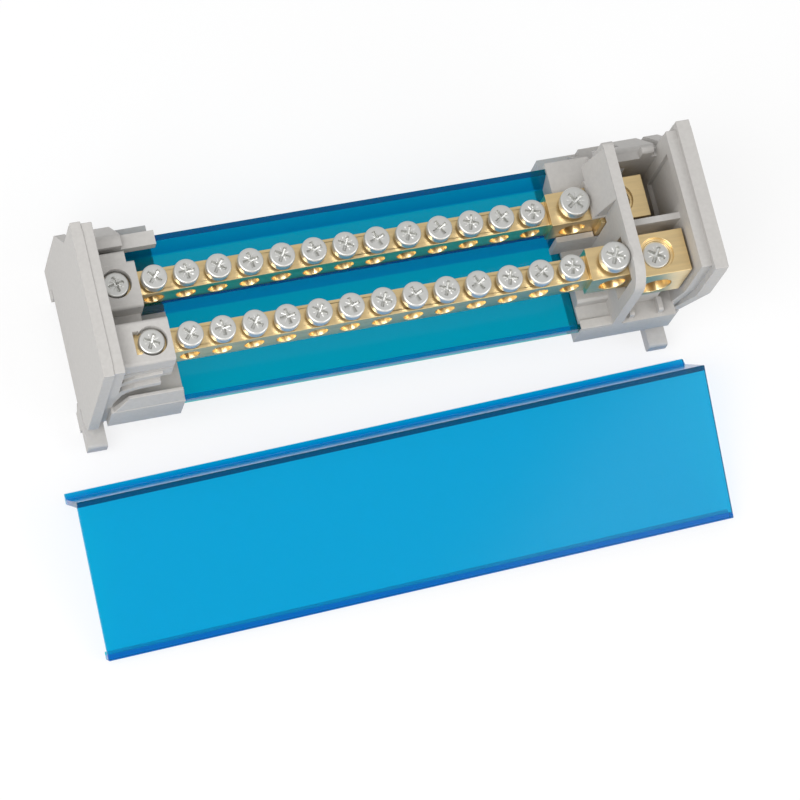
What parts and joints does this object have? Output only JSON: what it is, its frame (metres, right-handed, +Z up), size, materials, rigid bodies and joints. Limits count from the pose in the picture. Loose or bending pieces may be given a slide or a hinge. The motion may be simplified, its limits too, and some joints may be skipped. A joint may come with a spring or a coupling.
{
  "type": "power distribution block",
  "caption": "Rail-mounted power distribution block: stepped brass busbars with clamping screws in moulded end supports over a translucent channel, its clip-on cover lying apart.",
  "frame": {"origin": "on the plane the feet stand on, at the block's mid-length and under the middle of its raised nose", "axes": "+X along the block towards the incoming terminals, +Y to the back (the lower row of terminals), +Z up away from the rail"},
  "size_m": [0.1856, 0.1154, 0.062],
  "materials": {
    "support_plastic": "fine matt moulded",
    "channel_plastic": "glossy translucent",
    "cover_plastic": "glossy translucent",
    "brass": "machined",
    "plated_steel": "zinc plated"
  },
  "bodies": {
    "root": {"left_end_support": "support_plastic", "right_end_support": "support_plastic", "base_channel": "channel_plastic", "cover": "cover_plastic", "rear_busbar": "brass", "front_busbar": "brass", "rear_outgoing_screws": "plated_steel", "front_outgoing_screws": "plated_steel", "rear_branch_screw": "plated_steel", "front_branch_screw": "plated_steel", "rear_incoming_screw": "plated_steel", "front_incoming_screw": "plated_steel", "rear_end_screw": "plated_steel", "front_end_screw": "plated_steel"}
  },
  "joints": []
}
